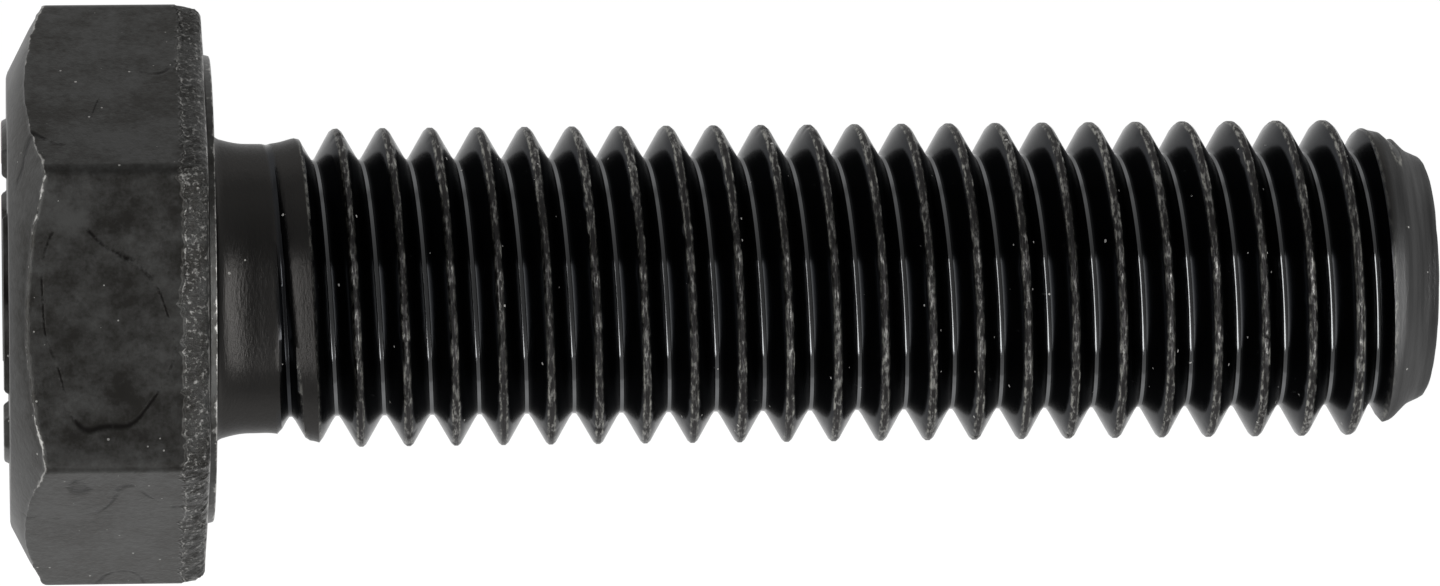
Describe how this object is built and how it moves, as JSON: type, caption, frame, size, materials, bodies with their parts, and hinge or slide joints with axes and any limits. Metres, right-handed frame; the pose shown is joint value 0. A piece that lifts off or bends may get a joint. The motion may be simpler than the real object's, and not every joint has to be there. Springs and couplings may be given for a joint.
{
  "type": "hex bolt",
  "caption": "Hexagon head bolt in black oxide steel, metric coarse right-hand thread up to the head, chamfered head with a washer face and a coned thread end.",
  "frame": {"origin": "centre of the flat top of the head, on the bolt's axis", "axes": "+X along the axis from the head to the thread's end, +Z out of a wrench flat, +Y through a corner of the hexagon"},
  "size_m": [0.0527, 0.0214, 0.0186],
  "materials": {
    "black_oxide_steel": "black oxide, oiled, satin"
  },
  "bodies": {
    "root": {"hex_bolt": "black_oxide_steel"}
  },
  "joints": []
}
